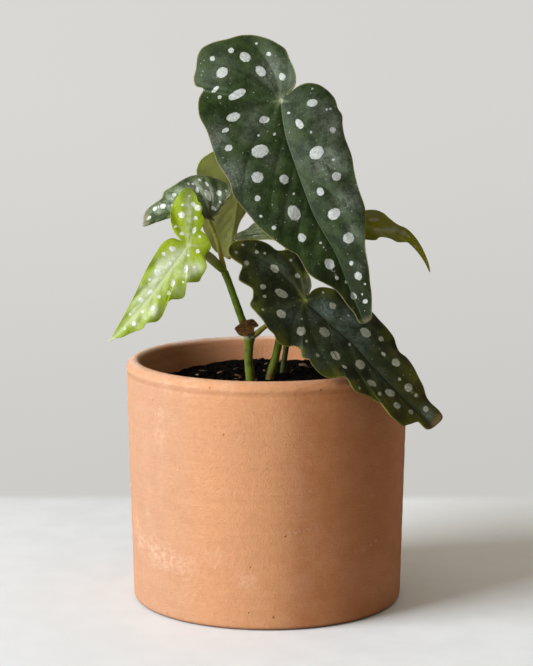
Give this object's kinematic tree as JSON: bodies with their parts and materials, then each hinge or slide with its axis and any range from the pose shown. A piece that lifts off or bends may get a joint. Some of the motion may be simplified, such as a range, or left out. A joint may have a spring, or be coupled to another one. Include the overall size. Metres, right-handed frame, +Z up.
{
  "type": "potted polka dot begonia",
  "caption": "Young cane begonia with asymmetric angel-wing leaves on jointed canes, growing from dark potting mix in a plain, tapered terracotta cylinder pot that stands on its flat base.",
  "frame": {"origin": "centre of the pot's base, on the surface that it stands on", "axes": "+Z up along the pot's axis, -Y towards the front of the plant, +X to the right as seen from the front"},
  "size_m": [0.1554, 0.135, 0.2713],
  "materials": {
    "terracotta": "unglazed, matte, with fine throwing lines",
    "potting_mix": "loose dark peat and bark crumbs",
    "stem": "smooth green, darker and browner at the joints",
    "dried_stipule": "crumpled dry brown skin",
    "leaf_dark": "satin dark green with whitish spots and sunken veins",
    "leaf_young": "satin yellow-green with pale spots",
    "leaf_underside": "matte olive underside"
  },
  "bodies": {
    "root": {"pot": "terracotta", "soil": "potting_mix", "cane_left": "stem", "cane_main": "stem", "shoot_back": "stem", "dried_stipule": "dried_stipule", "leaf_top": "leaf_dark", "leaf_lower": "leaf_dark", "leaf_left": "leaf_dark", "leaf_inner": "leaf_dark", "leaf_young": "leaf_young", "leaf_back_left": "leaf_underside", "leaf_back_right": "leaf_underside"}
  },
  "joints": []
}
